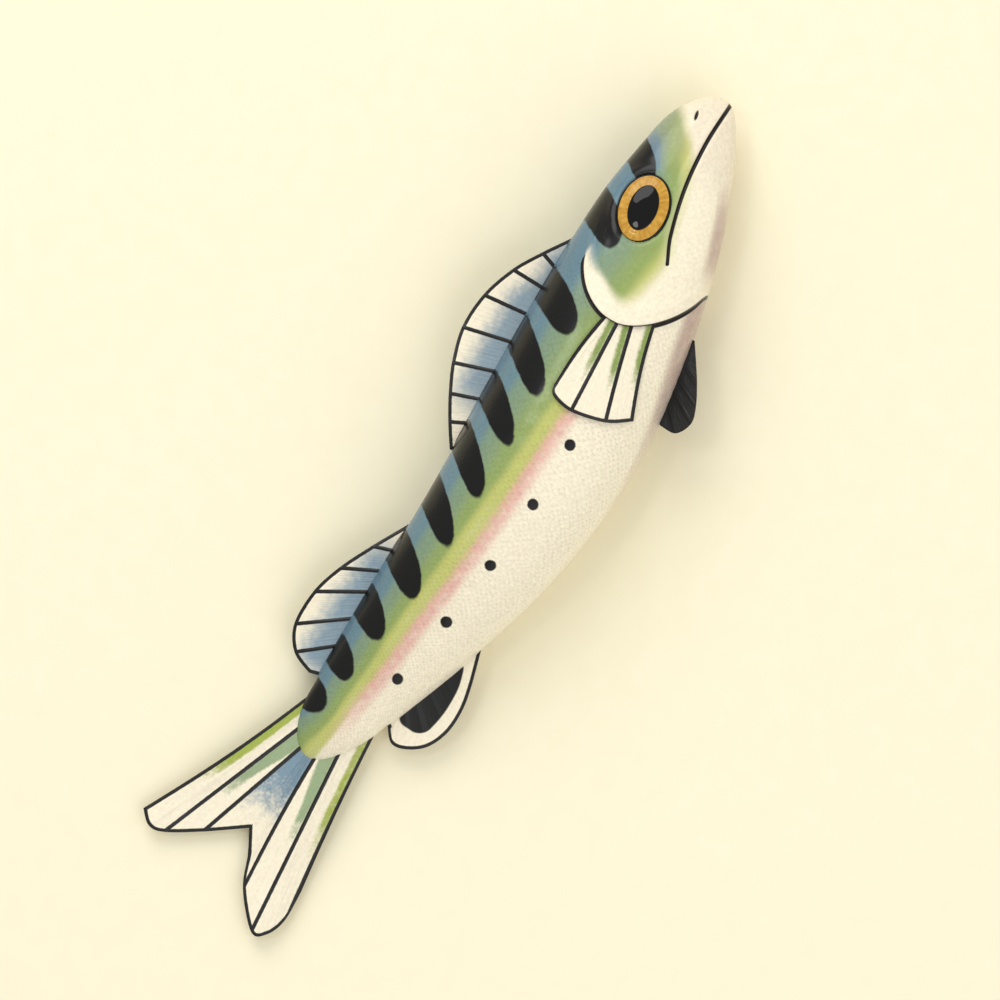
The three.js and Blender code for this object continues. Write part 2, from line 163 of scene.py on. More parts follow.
# Lower limit of the dark patch on the anal fin.
PATCH_LINE = (
    (-69, -31), (-65, -31.7), (-61, -32.3), (-57, -32.5), (-50, -31.9), (-45, -30.4), (-43, -29.4),
    (-40, -27),
)
PATCH_REAR_X = -69
PATCH_ROUND = 4
PINK_LINE = ((43, -12.3), (0, -12.3), (-20, -11.7), (-40, -10.5), (-60, -9.7), (-90, -7.2))
PINK_X = (-92, -60, 40, 48)
PINK_BAND = (-4.4, -0.8, 0.8, 3.2)
SNOUT_CLOUD_X = (118, 121, 125, 134)
UNDER_EYE_X = (96, 103, 113, 119)
GREENER_X = (-80, -45, 76, 88)
JAW_SHADE_X = (95, 108, 114, 135)
FIRST_DORSAL_BLUE_X = (19, 33, 79, 90)
SECOND_DORSAL_BLUE_X = (-75, -66, -32, -18)
# Lower limit of the green of the flank and of the cheek.
GREEN_FLOOR = (
    (145, 13.5), (141, 9), (136, 3), (131, -3), (125, -6.8), (119, -8), (110, -10.5), (105, -12),
    (100, -14.4), (95, -15.6), (85, -14.2), (78, -12), (60, -11.2), (0, -11.6), (-20, -10.6), (-40, -9.4),
    (-60, -8.4), (-95, -6),
)

# ---- Fins, as fans of rays ----

ROOT_DEPTH = 3.5
MEMBRANE_SAG = 0.25
RIM_REACH = 0.998                # the rims stop just inside the solid's own
BLADE_END_ROUND = 1.6            # a blade thins out over this width beside its first and last ray
RAY_HALF_WIDTH = 0.5
PALE_RIDGE = 0.2                 # height of a pale ray's ridge, as a share of a dark one's
RAY_OVERRUN = 0.12               # a dark ray is drawn past its tip by this share of its length
EDGE_RAY_EXTRA = 0.5             # the rays at both edges of a fin are drawn this much wider each side
LEAST_RIM_SLANT = 0.3            # least share of a length along a ray that counts as distance from the rim
PANEL_COLUMNS = 18
BLADE_ROWS = 56
FIN_WAVE = 0.9
FIN_WAVE_LENGTH = 9              # divided by 2 pi
PECTORAL_ROOT_LIFT = -0.75       # height of the pectoral fin's middle above the flank, at its root
PECTORAL_RISE = 2.1              # how much higher it is at its tip
PELVIC_APART = 3                 # distance of each pelvic fin from the middle plane, at the belly
PELVIC_SPLAY = 3.2               # how much further out it is at the depth below
PELVIC_SPLAY_DEPTH = 9           # measured down from the belly line
# Fins of the back and belly: x at the root, x and y at the tip.
FIRST_DORSAL = (
    (12, 11.1, 12.4), (20.9, 18, 17.6), (29.4, 25.5, 22.5), (39.3, 34.1, 27.1), (49.8, 45.1, 30.7),
    (59.7, 57.2, 30.8), (69.3, 68.9, 27.7), (76.8, 78.5, 22.9), (85, 87.4, 17.7),
)
SECOND_DORSAL = (
    (-69.5, -71.8, 9.9), (-60, -69, 17.3), (-50, -61.7, 22.3), (-40.3, -49.8, 23), (-32.7, -39.2, 20.5),
    (-25.2, -27.8, 15.8), (-17, -15.6, 10),
)
ANAL = (
    (-37, -35.6, -31), (-44, -46.9, -34.9), (-50, -55, -36.8), (-56, -63.1, -36.8), (-61, -70.3, -34.1),
    (-65, -74.7, -29), (-68, -75.8, -24), (-70.5, -71.7, -19.8),
)
PELVIC = (
    (81, 82.2, -32.2), (74, 72.2, -39.8), (69, 65, -44.2), (65, 59.8, -45.8), (61, 54.8, -43.5),
    (58, 54.2, -38),
)
# Fins with long rays: x and y at the root, x and y at the tip, and how far the ray bows to the back.
TAIL = (
    (-72, -17.6, -130.4, -26.6, 0.5), (-76, -15.8, -141, -27.4, 0.3), (-80, -13.5, -147.7, -25.1, 0.2),
    (-84, -11.6, -149.7, -20.6, 0), (-86, -6.3, -139.9, -10.9, 0.7), (-88, -4.8, -130.2, -6.2, 0.4),
    (-88, -3.6, -122.9, -1.8, 0), (-88, -2.4, -132, 9.6, 0), (-84, 1.4, -139, 19.8, 0),
    (-80, 3.5, -139.9, 25, -0.8), (-73, 4.4, -136.4, 29.3, -1.2),
)
TAIL_FORK = 6                    # the ray whose tip is the sharp corner between the tail's lobes
TAIL_LOWER = (0, 3, 4)           # rays that show in the lower lobe and the upper one, from the edge in
TAIL_UPPER = (10, 8, 7)
PECTORAL = (
    (80, -19, 50.3, -30.4, 0.9), (75.5, -13, 45.1, -23.3, 0.3), (75, -8.7, 41.9, -12.4, 0),
    (75.3, -6.2, 42.9, -5.2, 0.5), (76, -4.6, 45.8, -3.4, 0.9),
)

# ---- Curves ----


def smooth_line(rows):
    """A smooth curve through rows of (x, value), as a function of an array of x."""
    xs, ys = np.array(sorted(rows), float).T
    last = len(xs) - 1
    behind = np.maximum(np.arange(last + 1) - 1, 0)
    ahead = np.minimum(np.arange(last + 1) + 1, last)
    slopes = (ys[ahead] - ys[behind]) / (xs[ahead] - xs[behind])

    def line(x):
        x = np.clip(x, xs[0], xs[-1])
        i = np.clip(np.searchsorted(xs, x), 1, last)
        span = xs[i] - xs[i - 1]
        t = (x - xs[i - 1]) / span
        rise = ys[i] - ys[i - 1]
        start_bend = slopes[i - 1] * span - rise
        end_bend = rise - slopes[i] * span
        return ys[i - 1] + rise * t + t * (1 - t) * (start_bend * (1 - t) + end_bend * t)

    return line


back_line = smooth_line(BACK_LINE)
belly_line = smooth_line(BELLY_LINE)
half_thickness = smooth_line(HALF_THICKNESS)
middle_height = smooth_line(MIDDLE_HEIGHT)
mouth_line = smooth_line(MOUTH_LINE)
pink_line = smooth_line(PINK_LINE)
green_floor = smooth_line(GREEN_FLOOR)
patch_line = smooth_line(PATCH_LINE)


def step(value, low, high):
    """0 below low, 1 above high and smooth between them; high may be the lower one."""
    t = np.clip((value - low) / (high - low), 0, 1)
    return t * t * (3 - 2 * t)


def plateau(value, start, full, last_full, end):
    """1 from full to last_full, 0 below start and above end, and smooth between them."""
    return step(value, start, full) * step(value, end, last_full)


def bell(value, width):
    """1 at 0, falling off smoothly on both sides."""
    return np.exp(-((value / width) ** 2))


def superellipse(value, power):
    return np.sign(value) * np.abs(value) ** (2 / power)


def fullness(side):
    return np.where(side > 0, BACK_FULLNESS, BELLY_FULLNESS)


def end_rounding(x):
    past_snout = (x - (SNOUT_X - SNOUT_ROUND)) / SNOUT_ROUND
    past_tail = (FLESH_END_X + TAIL_ROUND - x) / TAIL_ROUND
    return np.sqrt(1 - np.clip(np.maximum(past_snout, past_tail), 0, 1) ** 2)


def section(x):
    """Middle, half depth and half thickness of the body's cross-section at x."""
    rounding = end_rounding(x)
    tip_y = np.where(x > 0, SNOUT_TIP_Y, TAIL_TIP_Y)
    top = tip_y + (back_line(x) - tip_y) * rounding
    bottom = tip_y + (belly_line(x) - tip_y) * rounding
    return (top + bottom) / 2, (top - bottom) / 2, half_thickness(x) * rounding


def flank(x, y):
    """Distance of the skin from the middle plane at a place in the side view."""
    middle, half_depth, half_thick = section(x)
    across = (y - middle) / np.maximum(half_depth, 1e-6)
    power = fullness(across)
    return half_thick * np.maximum(0, 1 - np.abs(across) ** power) ** (1 / power)


def gill_share(y):
    """Height from the gill cover's middle as a share of its reach up or down, and the oval's power."""
    above = y > GILL_Y
    share = np.abs(y - GILL_Y) / np.where(above, GILL_RISE, GILL_DROP)
    return share, np.where(above, GILL_RISE_POWER, GILL_DROP_POWER)


def gill_edge(y):
    """Where the rear edge of the gill cover crosses the height y."""
    share, power = gill_share(y)
    return GILL_X - GILL_REACH * np.maximum(0, 1 - share**power) ** (1 / power)


def inside_gill_cover(x, y):
    """Distance in front of the gill cover's rear edge, measured across the edge."""
    share, power = gill_share(y)
    along = np.maximum(GILL_X - x, 0) / GILL_REACH
    return (1 - (along**power + share**power) ** (1 / power)) * 0.5 * (GILL_REACH + GILL_DROP)


# ---- Meshes ----

FISH_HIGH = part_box("fish")[1]
SHIFT = np.array((FISH_HIGH.x * 1000 - SNOUT_X, FISH_HIGH.y * 1000 - CREST_Y, 0))


def in_frame(points):
    """Millimetres along the fish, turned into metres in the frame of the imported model."""
    return (np.asarray(points, float) + SHIFT) / 1000


def read_points(mesh):
    points = np.empty(len(mesh.vertices) * 3)
    mesh.vertices.foreach_get("co", points)
    return points.reshape(-1, 3)


def write_points(mesh, points):
    mesh.vertices.foreach_set("co", in_frame(points).ravel())
    mesh.update()


def read_normals(mesh):
    normals = np.empty(len(mesh.vertices) * 3)
    mesh.vertex_normals.foreach_get("vector", normals)
    return normals.reshape(-1, 3)


def keep_values(mesh, **values):
    """Stores one number for each vertex under each name, for the materials to read."""
    for name, numbers in values.items():
        layer = mesh.attributes.new(name, "FLOAT", "POINT")
        layer.data.foreach_set("value", np.broadcast_to(numbers, len(mesh.vertices)).astype(np.float32))


def keep_vector(mesh, name, vectors):
    layer = mesh.attributes.new(name, "FLOAT_VECTOR", "POINT")
    layer.data.foreach_set("vector", vectors.astype(np.float32).ravel())


def mesh_from(bm, name):
    mesh = bpy.data.meshes.new(name)
    bm.to_mesh(mesh)
    bm.free()
    return mesh


def finish_piece(mesh, material, node):
    """Turns a mesh into a smooth piece that rides on the fish and stands for the CAD node named."""
    bm = bmesh.new()
    bm.from_mesh(mesh)
    bmesh.ops.recalc_face_normals(bm, faces=bm.faces)
    bm.to_mesh(mesh)
    bm.free()
    mesh.shade_smooth()
    mesh.materials.append(material)
    piece = bpy.data.objects.new(mesh.name, mesh)
    bpy.context.scene.collection.objects.link(piece)
    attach(piece, "root")
    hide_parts(node)


# ---- Materials ----


def linear(red, green, blue):
    """A colour given as 0 to 255 on a screen, as the linear numbers that materials take."""
    channels = (value / 255 for value in (red, green, blue))
    return (*(c / 12.92 if c <= 0.04045 else ((c + 0.055) / 1.055) ** 2.4 for c in channels), 1)


CREAM = linear(250, 240, 214)
SAGE = linear(154, 173, 132)
YELLOW_GREEN = linear(196, 199, 114)
GREEN = linear(148, 167, 98)
TEAL = linear(130, 153, 126)
BLUE = linear(106, 136, 148)
DEEP_BLUE = linear(96, 126, 144)
PINK = linear(230, 178, 166)
# Painted shade along the throat and the jaw and over the snout.
PAINTED_SHADE_MAUVE = linear(190, 164, 152)
FIN_BLUE = linear(126, 152, 168)
LIME = linear(163, 177, 74)
PECTORAL_GREEN = linear(136, 157, 82)
SCALE_EDGE = linear(74, 88, 84)
# Painted shade in the mouth line, the gill slit and the nostril.
PAINTED_CREASE_SHADE = linear(26, 22, 22)
BLACK = linear(10, 10, 10)
PUPIL_BLACK = linear(6, 6, 6)
DEEP_GOLD = linear(176, 122, 36)
PALE_GOLD = linear(216, 170, 76)
PALE_FLOOR = (linear(248, 240, 210), linear(250, 243, 214))
GRAIN = 900.0                    # cells in a metre of the grain of the skin and the fins
FORWARD = (0.7, 0.7, 0.0)        # to the head, in the turned coordinates of the scales


class Shader:
    """A node material with a Principled surface, and short calls that add its nodes."""

    def __init__(self, name, **surface):
        self.material = bpy.data.materials.new(name)
        self.material.use_nodes = True
        self.tree = self.material.node_tree
        self.surface = self.tree.nodes["Principled BSDF"]
        self.set(self.surface, surface)

    def set(self, node, values):
        for key, value in values.items():
            socket = node.inputs[key.replace("_", " ") if isinstance(key, str) else key]
            if isinstance(value, bpy.types.NodeSocket):
                self.tree.links.new(value, socket)
            else:
                socket.default_value = value

    def add(self, kind, values=(), **settings):
        node = self.tree.nodes.new("ShaderNode" + kind)
        for key, value in settings.items():
            setattr(node, key, value)
        self.set(node, dict(values))
        return node

    def value(self, name):
        return self.add("Attribute", attribute_name=name).outputs["Fac"]

    def vector(self, name):
        return self.add("Attribute", attribute_name=name).outputs["Vector"]

    def place(self):
        return self.add("TexCoord").outputs["Object"]

    def sum(self, a, b):
        return self.add("Math", {0: a, 1: b}, operation="ADD").outputs[0]

    def times(self, a, b):
        return self.add("Math", {0: a, 1: b}, operation="MULTIPLY").outputs[0]

    def between(self, value, low, high, start=0.0, end=1.0):
        values = {0: value, 1: low, 2: high, 3: start, 4: end}
        return self.add("MapRange", values, interpolation_type="SMOOTHSTEP").outputs[0]

    def noise(self, vector, scale, detail=3.0):
        """Cloudy noise from -1 to 1, spread evenly about 0."""
        cloud = self.add("TexNoise", {"Vector": vector, "Scale": scale, "Detail": detail}).outputs[0]
        return self.times(self.sum(cloud, -0.5), 2.0)

    def mix(self, share, first, second, blend="MIX"):
        node = self.add("Mix", data_type="RGBA", blend_type=blend, clamp_factor=True)
        self.set(node, {0: share, 6: first, 7: second})
        return node.outputs[2]

    def ramp(self, value, stops):
        node = self.add("ValToRGB", {0: value})
        ramp = node.color_ramp
        ramp.interpolation = "EASE"
        for place, colour in stops[len(ramp.elements):]:
            ramp.elements.new(place).color = colour
        for element, (place, colour) in zip(ramp.elements, stops):
            element.position = place
            element.color = colour
        return node.outputs[0]

    def bump(self, height, distance):
        return self.add("Bump", {"Height": height, "Distance": distance, "Strength": 1.0}).outputs[0]


def scale_tilt(shader):
    """Overlapping scales: how far a place lies in front of the middle of its scale."""
    turned = {
        "Vector": shader.vector("along_skin"),
        "Scale": (SCALES, SCALES, 1),
        "Rotation": (0, 0, math.pi / 4),
    }
    diamonds = shader.add("Mapping", turned).outputs[0]
    cells = shader.add("TexVoronoi", {"Vector": diamonds, "Scale": 1.0, "Randomness": 0.35})
    from_middle = {0: diamonds, 1: cells.outputs["Position"]}
    inside = shader.add("VectorMath", from_middle, operation="SUBTRACT").outputs[0]
    return shader.add("VectorMath", {0: inside, 1: FORWARD}, operation="DOT_PRODUCT").outputs["Value"]


def skin_material():
    """Wet skin: colours from belly to back, a pink stripe, dark bars and spots, and fine scales."""
    shader = Shader(
        "wet_skin", Coat_Weight=0.55, Coat_Roughness=0.15, Coat_IOR=1.33, IOR=1.38, Specular_IOR_Level=0.25,
    )
    place = shader.place()
    drift = shader.noise(place, 45.0)
    grain = shader.noise(place, GRAIN, 2.0)
    unrest = shader.times(shader.sum(drift, shader.times(grain, 0.9)), 0.06)
    colour = shader.ramp(shader.sum(shader.value("ladder"), unrest), (
        (0.0, CREAM), (0.03, CREAM), (0.16, YELLOW_GREEN), (0.31, GREEN), (0.62, TEAL), (0.80, BLUE),
        (1.0, DEEP_BLUE),
    ))
    mottle = shader.sum(shader.noise(place, 380.0), shader.times(grain, 0.5))
    pink = shader.times(shader.value("pink"), shader.between(mottle, -0.7, 0.5, 0.45, 1.0))
    colour = shader.mix(pink, colour, PINK)
    colour = shader.mix(shader.value("cream"), colour, CREAM)
    # Painted shade: a mauve darkening along the throat, the jaw and the snout.
    painted_shade = shader.times(shader.value("painted_shade"), shader.between(mottle, -0.8, 0.6, 0.75, 1.0))
    colour = shader.mix(painted_shade, colour, PAINTED_SHADE_MAUVE)

    tilt = scale_tilt(shader)
    rear_edge = shader.times(shader.between(tilt, -0.15, -0.5), shader.value("scaly"))
    colour = shader.mix(shader.times(rear_edge, shader.between(drift, -1, 1, 0.03, 0.2)), colour, SCALE_EDGE)
    colour = shader.mix(1.0, colour, shader.between(grain, -0.9, 0.9, 0.86, 1.08), "MULTIPLY")

    wander = shader.times(shader.noise(place, 320.0), 0.35)
    for name, soft in (("bars", 0.28), ("spots", 0.22)):
        inside = shader.between(shader.sum(shader.value(name), wander), soft, -soft)
        colour = shader.mix(inside, colour, BLACK)
    # Painted shade darkens the mouth line, the gill slit and the nostril.
    colour = shader.mix(shader.between(shader.value("crease_shade"), 0.78, 0.54), colour, PAINTED_CREASE_SHADE)

    height = shader.sum(shader.times(tilt, shader.value("scaly")), shader.times(grain, 0.2))
    shader.set(shader.surface, {
        "Base Color": colour,
        "Roughness": shader.between(drift, -0.8, 0.8, 0.30, 0.42),
        "Normal": shader.bump(height, 0.0001),
    })
    return shader.material


def fin_material(name, paint, **surface):
    """A thin wet membrane between dark rays. paint(shader) gives the colour of the membrane."""
    shader = Shader(name, Coat_Roughness=0.2, IOR=1.38, **surface)
    colour = paint(shader)
    grain = shader.noise(shader.place(), GRAIN, 2.0)
    colour = shader.mix(1.0, colour, shader.between(grain, -0.9, 0.9, 0.90, 1.04), "MULTIPLY")
    wander = shader.times(grain, 0.08)
    rays = shader.between(shader.sum(shader.value("ray"), wander), 0.74, 0.52)
    rim = shader.between(shader.sum(shader.value("rim"), wander), 1.22, 0.96)
    dark = shader.add("Math", {0: rays, 1: rim}, operation="MAXIMUM").outputs[0]
    across = shader.times(shader.value("fan"), 16.0)
    along = shader.times(shader.value("rim"), 0.05)
    fibres = shader.noise(shader.add("CombineXYZ", {0: across, 1: along}).outputs[0], 1.0, 1.0)
    shader.set(shader.surface, {
        "Base Color": shader.mix(dark, colour, BLACK),
        "Roughness": shader.between(grain, -0.9, 0.9, 0.32, 0.46),
        "Normal": shader.bump(fibres, 0.00012),
    })
    return shader.material


def dorsal_paint(shader):
    """Cream, with a cloud of blue that thins out towards the rim."""
    drift = shader.times(shader.noise(shader.place(), 60.0), 2.0)
    grain = shader.times(shader.noise(shader.place(), 500.0), 2.4)
    up = shader.sum(shader.value("up"), shader.sum(drift, grain))
    fade = shader.times(shader.between(up, 13.0, 4.0), shader.value("blue"))
    return shader.mix(fade, CREAM, FIN_BLUE)


def patch_paint(shader):
    """Cream, with a dark patch."""
    return shader.mix(shader.between(shader.value("patch"), 0.25, -0.25), CREAM, BLACK)


def strip_paint(lime):
    """Cream, with soft green strips along the rays and blue in the middle of the tail."""
    def paint(shader):
        drift = shader.times(shader.noise(shader.place(), 350.0), 0.28)
        grain = shader.times(shader.noise(shader.place(), 1100.0), 0.3)
        unrest = shader.sum(drift, grain)
        colour = CREAM
        for name, tint, full in (("lime", lime, 0.95), ("sage", SAGE, 0.9), ("blue", FIN_BLUE, 0.8)):
            share = shader.between(shader.sum(shader.value(name), unrest), 0.1, full)
            colour = shader.mix(share, colour, tint)
        return colour
    return paint


def eye_material():
    """A gold ring round a black pupil, with a dark rim, under a clear wet cornea."""
    shader = Shader("eye", Coat_Weight=1.0, Coat_Roughness=0.03, Coat_IOR=1.33, IOR=1.05)
    grain = shader.noise(shader.place(), 700.0, 4.0)
    fibres = shader.sum(shader.noise(shader.vector("fibres"), 1.0, 4.0), shader.times(grain, 0.4))
    gold = shader.mix(shader.between(fibres, -0.7, 0.7), DEEP_GOLD, PALE_GOLD)
    ring = shader.sum(shader.value("ring"), shader.times(grain, 0.012))
    colour = shader.mix(shader.between(ring, 1.015, 0.985), gold, PUPIL_BLACK)
    colour = shader.mix(shader.between(ring, 1.985, 2.015), colour, BLACK)
    shader.set(shader.surface, {
        "Base Color": colour,
        "Roughness": shader.between(grain, -0.8, 0.8, 0.25, 0.4),
    })
    return shader.material


# ---- Body ----


def gill_edge_along(share):
    """x of the gill cover's edge on a line of the body that keeps its share of the depth."""
    x = np.full(share.shape, float(GILL_X - GILL_REACH))
    for _ in range(GILL_PASSES):
        middle, half_depth, _ = section(x)
        x = (x + gill_edge(middle + half_depth * share)) / 2
    return x


def gill_edge_round(angle):
    """x of the gill cover's edge by the angle round the body, with its turn under the throat rounded off."""
    edges = []
    for near in np.linspace(-GILL_TURN, GILL_TURN, 5):
        rise = np.cos(angle + near)
        edges.append(gill_edge_along(superellipse(rise, fullness(rise))))
    return np.mean(edges, 0)


def gill_cover(in_front, y):
    """How far the gill cover stands out, by the distance in front of its edge and the height y."""
    swelling = 0.5 * step(in_front, CHEEK_LENGTH, GILL_PLATE_WIDTH)
    plate = 0.5 * step(in_front, GILL_PLATE_WIDTH + 2, GILL_PLATE_WIDTH - 2)
    return GILL_STEP * (swelling + plate) * step(y, GILL_FADE[1], GILL_FADE[0])


def body_form(row, turn):
    """Points of the bare body. Rows run from snout to tail and bend round the gill cover's edge."""
    theta = np.abs(turn)
    side = np.sign(turn)
    mouth_theta = MOUTH_COLUMN * 2 * math.pi / BODY_COLUMNS
    lip_row = np.clip(row - HEAD_ROWS, 0, LIP_ROWS).astype(int)
    lip = np.array(GILL_LIP)
    on_head = row <= HEAD_ROWS
    on_lip = ~on_head & (row <= HEAD_ROWS + LIP_ROWS)
    # Rows crowd at the tips of the snout and the tail, where the body rounds off.
    along_head = row / HEAD_ROWS
    along_head = 0.25 * along_head + 0.75 * (1 - np.cos(along_head * math.pi / 2))
    along_trunk = np.clip((row - HEAD_ROWS - LIP_ROWS) / TRUNK_ROWS, 0, 1)
    along_trunk = (along_trunk + np.sin(along_trunk * math.pi / 2)) / 2

    bent = theta
    for _ in range(MOUTH_PASSES):
        share = superellipse(np.cos(bent), fullness(np.cos(bent)))
        edge = gill_edge_round(bent)
        head_x = SNOUT_X + (edge + lip[0, 0] - SNOUT_X) * along_head
        x = np.where(on_head, head_x, edge + lip[lip_row, 0])
        x = np.where(on_head | on_lip, x, x + (FLESH_END_X - x) * along_trunk)
        middle, half_depth, half_thick = section(x)
        mouth_share = np.clip((mouth_line(x) - middle) / np.maximum(half_depth, 1e-6), -0.75, 0.3)
        mouth_bend = np.arccos(np.sign(mouth_share) * np.abs(mouth_share) ** (fullness(mouth_share) / 2))
        pull = np.sin(theta / mouth_theta * math.pi / 2) ** 2 * step(theta, math.pi, mouth_theta)
        bent = theta + (mouth_bend - mouth_theta) * pull * step(x, 88, 97)

    y = middle + half_depth * share
    fade = step(y, GILL_FADE[1], GILL_FADE[0])
    on_edge = np.where(on_lip, GILL_STEP * lip[lip_row, 1] * fade, 0)
    proud = np.where(on_head, gill_cover(x - edge, y), on_edge)
    behind = np.where(on_head | on_lip, 0, GILL_STEP * lip[-1, 1] * bell(x - edge, SLIT_FADE) * fade)
    out = side * superellipse(np.sin(bent), fullness(np.cos(bent)))
    z = middle_height(x) + (half_thick + (proud + behind) * end_rounding(x)) * out
    return np.stack((x, y, z), 1), bent


def eye_reach(x, y, half_length, half_height):
    """1 on an oval round the eye's centre, less inside and more outside."""
    dx = x - EYE_X
    dy = y - EYE_Y
    along = dx * math.cos(EYE_TILT) + dy * math.sin(EYE_TILT)
    across = dy * math.cos(EYE_TILT) - dx * math.sin(EYE_TILT)
    return np.hypot(along / half_length, across / half_height)


def nostril_reach(x, y, half_length, half_height):
    """1 on a slanted oval round the nostril, less inside and more outside."""
    dx = x - NOSTRIL[0]
    return np.hypot(dx / half_length, (y - NOSTRIL[1] - NOSTRIL_SLANT * dx) / half_height)


def relief(x, y):
    """Height of the skin's own features above the bare body."""
    from_mouth = y - mouth_line(x)
    mouth = -MOUTH_DEPTH * bell(from_mouth, 0.55)
    mouth += UPPER_LIP_HEIGHT * bell(from_mouth - 1.6, 0.9) + LOWER_LIP_HEIGHT * bell(from_mouth + 1.7, 0.9)
    height = mouth * step(x, MOUTH_CORNER_X - 2, MOUTH_CORNER_X + 4)
    jaw_bone = plateau(from_mouth, 0.2, 1.2, 2.2, 4.0) * plateau(x, *JAW_BONE_X)
    jaw_fold = bell(y - belly_line(x) - JAW_FOLD_RISE, 0.5) * plateau(x, *JAW_FOLD_X)
    height += JAW_BONE_HEIGHT * jaw_bone - JAW_FOLD_DEPTH * jaw_fold

    eye = eye_reach(x, y, *EYE_SOCKET)
    height += EYE_SOCKET_RIM_HEIGHT * bell(eye - 1.16, 0.12) - EYE_SOCKET_DEPTH * step(eye, 1.0, 0.86)
    nostril = nostril_reach(x, y, 1.3, 0.7)
    height += NOSTRIL_RIM_HEIGHT * bell(nostril - 1.7, 0.5) - NOSTRIL_DEPTH * bell(nostril, 0.8)

    cover = inside_gill_cover(x, y)
    on_cheek = plateau(x, *CHEEK_X) * plateau(y, *CHEEK_Y)
    round_fan = np.arctan2(y - CHEEK_FAN_CENTRE[1], x - CHEEK_FAN_CENTRE[0])
    cheek_fan = np.sin(round_fan * CHEEK_FAN_RIDGES) * bell(cover - 3, 2.2)
    cheek_rim = bell(cover - GILL_PLATE_WIDTH, 1.5)
    height += on_cheek * (CHEEK_FAN_HEIGHT * cheek_fan + CHEEK_RIM_HEIGHT * cheek_rim)

    from_pink = y - pink_line(x)
    flank_line = bell(from_pink - FLANK_LINE_RISE, 0.5) * plateau(x, *FLANK_LINE_X)
    muscle = np.sin((x + MUSCLE_SLANT * np.abs(from_pink)) * 2 * math.pi / MUSCLE_LENGTH)
    height += MUSCLE_HEIGHT * muscle * plateau(x, *MUSCLE_X) - FLANK_LINE_DEPTH * flank_line
    return height


def fin_roots(x, y, z):
    """The flesh that rises round the root of each fin of the back and belly."""
    middle = z - middle_height(x)
    along_back = plateau(x, *FIRST_DORSAL_ROOT_X) + plateau(x, *SECOND_DORSAL_ROOT_X)
    dorsals = along_back * bell(middle, 1.9) * (y > 0)
    anal = plateau(x, *ANAL_ROOT_X) * bell(middle, 1.7) * (y < 0)
    return DORSAL_ROOT_HEIGHT * dorsals + ANAL_ROOT_HEIGHT * anal


def bar_distance(x, y):
    """Distance to the nearest dark bar's outline, below 0 inside a bar."""
    nearest = np.full(x.shape, np.inf)
    for top_x, half_width, low_x, low_y, bluntness in BARS:
        top_y = float(back_line(np.array(top_x)))
        down = np.maximum((top_y - y) / (top_y - low_y), 0)
        across = (x - top_x - (low_x - top_x) * down) / half_width
        reach = np.sqrt(across**2 + down**bluntness)
        nearest = np.minimum(nearest, (reach - 1) * half_width * 0.85)
    return nearest


def slit_distance(x, bent):
    """Distance along the skin in front of the gill cover's edge, by x and the angle round the body."""
    rim = []
    for angle in (bent - 0.02, bent + 0.02):
        power = fullness(np.cos(angle))
        edge = gill_edge_round(angle)
        middle, half_depth, half_thick = section(edge)
        y = middle + half_depth * superellipse(np.cos(angle), power)
        rim.append(np.stack((edge, y, half_thick * superellipse(np.sin(angle), power))))
    run = rim[1] - rim[0]
    return (x - (rim[0][0] + rim[1][0]) / 2) * np.hypot(run[1], run[2]) / np.linalg.norm(run, axis=0)


def colour_ladder(x, y):
    """Place on the skin's ladder of colours, from 0 at the belly to 1 at the back."""
    floor = green_floor(x)
    ladder = (y - floor) / np.maximum(back_line(x) - floor, 1)
    # Less blue over the tail's root and on the snout, but for a blue cloud in front of the eye.
    ladder = ladder * (1 - 0.35 * step(x, -78, -92)) * (1 - 0.42 * step(x, 117, 128))
    ladder = ladder + 0.38 * plateau(x, *SNOUT_CLOUD_X) * step(y - 0.3 * (x - 120), 4, 10)
    # The yellow-green is greener under the eye, and on the trunk greener to the head than to the tail.
    ladder = ladder + 0.05 * plateau(x, *UNDER_EYE_X) * step(ladder, -0.02, 0.08)
    greener = (2 * step(x, -12, 40) - 1) * plateau(x, *GREENER_X)
    ladder = ladder + 0.045 * greener * plateau(ladder, -0.05, 0.05, 0.2, 0.6)
    # The trunk's lowest green ends in a crisp edge over the pink stripe.
    lowest_green = (0.14 + 0.05 * step(x, -25, 40)) * step(x, 78, 66)
    ladder = np.maximum(ladder, lowest_green * step(y - floor, -2.4, 0.6))
    return np.clip(ladder, 0, 1)


def cream_share(x, y, before_slit):
    """The cream crescent along the gill cover's edge, and the cheek's green that fades to cream below."""
    cover = inside_gill_cover(x, y)
    width = 1.6 + 4.9 * step(y, 12, 0)
    soft = 1.2 + 1.8 * step(y, 2, -10)
    crescent = step(cover, width + soft, width - soft) * ((x < GILL_X) & (before_slit > 0))
    crescent = crescent * step(y, 12, 10.8) * step(x, 90, 87)
    head_mist = step(y - green_floor(x), 8, 0.5) * step(x, 74, 78) * 0.95
    return 1 - (1 - crescent) * (1 - head_mist)


def painted_shade_share(x, y, before_slit):
    """Painted shade in mauve along the throat behind the gill slit, along the jaw, and faintly over the
    snout.
    """
    from_belly = y - belly_line(x)
    throat_width = 1.2 + 5 * step(x, 25, 80)
    throat = step(from_belly / throat_width, 1.15, 0.55) * step(x, 10, 82) * step(before_slit, 0.5, -0.5)
    jaw = 0.95 * step(from_belly, 5.4, 2.2) * plateau(x, *JAW_SHADE_X)
    return np.maximum(np.maximum(throat, jaw), 0.2 * step(x, 118, 134))


